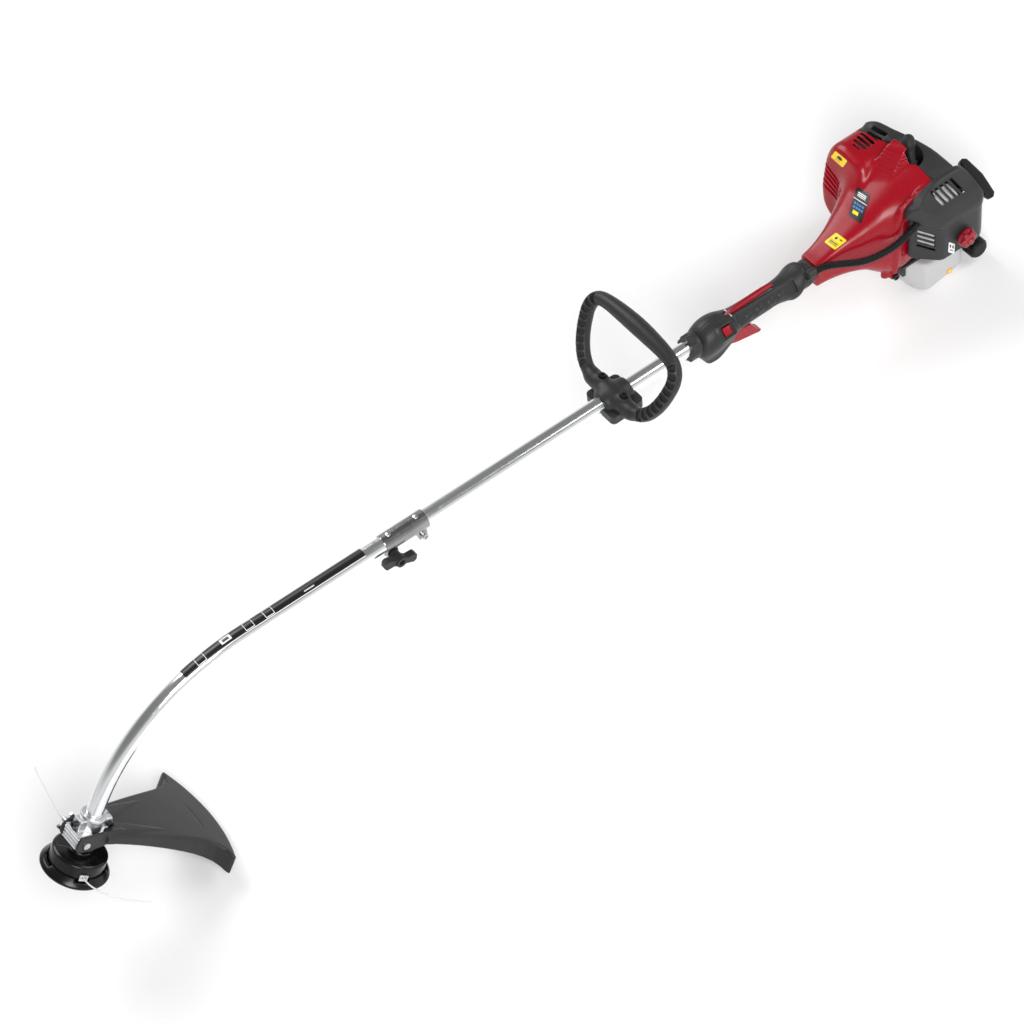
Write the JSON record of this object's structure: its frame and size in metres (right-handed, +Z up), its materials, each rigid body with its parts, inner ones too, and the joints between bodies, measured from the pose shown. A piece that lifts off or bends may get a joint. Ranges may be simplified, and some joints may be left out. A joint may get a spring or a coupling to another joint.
{
  "type": "string trimmer",
  "caption": "Petrol string trimmer: engine in a moulded shroud on a straight shaft, loop and trigger grips, sleeve coupler, curved lower shaft, fan guard and line head.",
  "frame": {"origin": "middle of the footprint, on the ground, without the free line ends", "axes": "+X towards the engine end, +Z up, the tool lying on its tank and guard; the shaft rises to the cutting end and lies in the XZ plane; the air filter faces -Y"},
  "size_m": [1.7558, 0.3122, 0.3609],
  "materials": {
    "polished_tube": "polished",
    "dark_steel": "dark brushed",
    "bright_steel": "zinc plated",
    "black_screw": "black oxide",
    "bare_steel": "machined",
    "sintered_bronze": "plain",
    "cast_aluminium": "as cast",
    "zinc_nut": "cast zinc",
    "grey_plastic": "satin",
    "black_plastic": "satin",
    "head_plastic": "gloss",
    "red_plastic": "semi-gloss",
    "tank_plastic": "translucent",
    "rubber": "plain",
    "ceramic": "glazed",
    "filter_foam": "open cell",
    "rope": "braided",
    "line": "smooth"
  },
  "bodies": {
    "engine_and_shaft": {"upper_tube": "polished_tube", "coupler_sleeve": "dark_steel", "coupler_fasteners": "bright_steel", "shaft_bushes": "sintered_bronze", "grip_left": "grey_plastic", "grip_right": "grey_plastic", "grip_fasteners": "bright_steel", "grip_clamps": "grey_plastic", "throttle_conduit": "black_plastic", "engine_shroud": "red_plastic", "clutch_housing": "cast_aluminium", "crankcase": "cast_aluminium", "cylinder": "cast_aluminium", "piston_and_rod": "cast_aluminium", "muffler": "bare_steel", "carburettor": "cast_aluminium", "air_filter": "filter_foam", "side_cover": "grey_plastic", "top_cover": "grey_plastic", "spark_plug": "ceramic", "plug_boot": "rubber", "ignition_coil": "black_plastic", "fuel_tank": "tank_plastic", "tank_bracket": "grey_plastic", "starter_housing": "grey_plastic", "fuel_lines": "rubber", "engine_bolts": "black_screw"},
    "coupler_knob": {"wing_knob": "black_plastic"},
    "front_loop": {"loop_handle": "grey_plastic", "loop_cap": "grey_plastic", "loop_screws": "black_screw"},
    "trigger": {"throttle_trigger": "red_plastic"},
    "lever": {"lockout_lever": "red_plastic"},
    "rocker": {"stop_switch": "red_plastic"},
    "filter_knob": {"cover_knob": "red_plastic"},
    "filler_cap": {"fuel_cap": "black_plastic"},
    "pull_handle": {"starter_handle": "black_plastic", "starter_rope": "rope"},
    "pulley": {"starter_pulley": "grey_plastic"},
    "crank": {"crankshaft": "bare_steel", "flywheel": "cast_aluminium", "clutch_shoes": "bare_steel"},
    "drive": {"clutch_drum": "bare_steel", "drive_shaft": "bare_steel"},
    "lower_shaft": {"lower_tube": "polished_tube", "flex_shaft": "bare_steel", "head_bracket": "cast_aluminium", "bracket_bolts": "black_screw", "guard": "grey_plastic", "guard_bolt": "bright_steel"},
    "guard_nut": {"wing_nut": "zinc_nut"},
    "cutting_head": {"head_arbor": "bare_steel", "head_cover": "head_plastic", "head_flange": "head_plastic", "line_eyelets": "bright_steel", "line_end_near": "line", "line_end_far": "line"},
    "bump": {"bump_knob": "head_plastic", "spool": "head_plastic"},
    "throttle": {"throttle_arm": "bright_steel"}
  },
  "joints": [
    {"name": "wing_knob_turn", "type": "hinge", "parent": "engine_and_shaft", "child": "coupler_knob", "pos_m": [-0.2054, 0.00146, 0.27305], "axis": [0, -1, 0], "range_deg": [0, 360]},
    {"name": "loop_slide", "type": "slide", "parent": "engine_and_shaft", "child": "front_loop", "axis": [0.9833, 0, -0.1822], "range_m": [-0.1, 0.08]},
    {"name": "trigger_pull", "type": "hinge", "parent": "engine_and_shaft", "child": "trigger", "pos_m": [0.39322, 0.00146, 0.16109], "axis": [0, -1, 0], "range_deg": [0, 11], "stiffness_Nm_per_rad": 0.3, "springref_deg": -22.92},
    {"name": "lever_press", "type": "hinge", "parent": "engine_and_shaft", "child": "lever", "pos_m": [0.42582, 0.00146, 0.19979], "axis": [0, 1, 0], "range_deg": [0, 4], "stiffness_Nm_per_rad": 0.3, "springref_deg": -22.92},
    {"name": "stop_switch_rock", "type": "hinge", "parent": "engine_and_shaft", "child": "rocker", "pos_m": [0.4043, -0.01363, 0.19341], "axis": [0.9833, 0, -0.1822], "range_deg": [-6, 6]},
    {"name": "cover_knob_turn", "type": "hinge", "parent": "engine_and_shaft", "child": "filter_knob", "pos_m": [0.79377, -0.10854, 0.11634], "axis": [0, -1, 0], "range_deg": [0, 360]},
    {"name": "fuel_cap_turn", "type": "hinge", "parent": "engine_and_shaft", "child": "filler_cap", "pos_m": [0.82719, -0.07354, 0.02777], "axis": [0, -1, 0], "range_deg": [0, 270]},
    {"name": "starter_pull", "type": "slide", "parent": "engine_and_shaft", "child": "pull_handle", "axis": [0.9997, 0, 0.0262], "range_m": [0, 0.75], "stiffness_N_per_m": 15, "springref_m": -0.3},
    {"name": "pulley_spin", "type": "hinge", "parent": "engine_and_shaft", "child": "pulley", "pos_m": [0.81056, 0.00146, 0.10815], "axis": [0.9833, 0, -0.1822], "range_deg": [0, 1440]},
    {"name": "crank_spin", "type": "hinge", "parent": "engine_and_shaft", "child": "crank", "pos_m": [0.75157, 0.00146, 0.11908], "axis": [0.9833, 0, -0.1822], "continuous": true},
    {"name": "drive_spin", "type": "hinge", "parent": "engine_and_shaft", "child": "drive", "pos_m": [0.64734, 0.00146, 0.1384], "axis": [-0.9833, 0, 0.1822], "continuous": true},
    {"name": "lower_shaft_slide", "type": "slide", "parent": "engine_and_shaft", "child": "lower_shaft", "axis": [-0.9833, 0, 0.1822], "range_m": [0, 0.04]},
    {"name": "wing_nut_turn", "type": "hinge", "parent": "lower_shaft", "child": "guard_nut", "pos_m": [-0.80804, 0.03546, 0.21375], "axis": [0, 1, 0], "range_deg": [0, 360]},
    {"name": "head_spin", "type": "hinge", "parent": "lower_shaft", "child": "cutting_head", "pos_m": [-0.82246, 0.00146, 0.16857], "axis": [-0.6774, 0, -0.7356], "continuous": true},
    {"name": "bump_press", "type": "slide", "parent": "cutting_head", "child": "bump", "axis": [0.6774, 0, 0.7356], "range_m": [0, 0.0045], "stiffness_N_per_m": 600, "springref_m": -0.01},
    {"name": "throttle_open", "type": "hinge", "parent": "engine_and_shaft", "child": "throttle", "pos_m": [0.77831, -0.05654, 0.19752], "axis": [0.1822, 0, 0.9833], "range_deg": [0, 66]}
  ],
  "couplings": [
    {"joint": "pulley_spin", "follows": "starter_pull", "rad_per_m": 33.333},
    {"joint": "head_spin", "follows": "drive_spin", "ratio": 1},
    {"joint": "throttle_open", "follows": "trigger_pull", "ratio": 6}
  ]
}
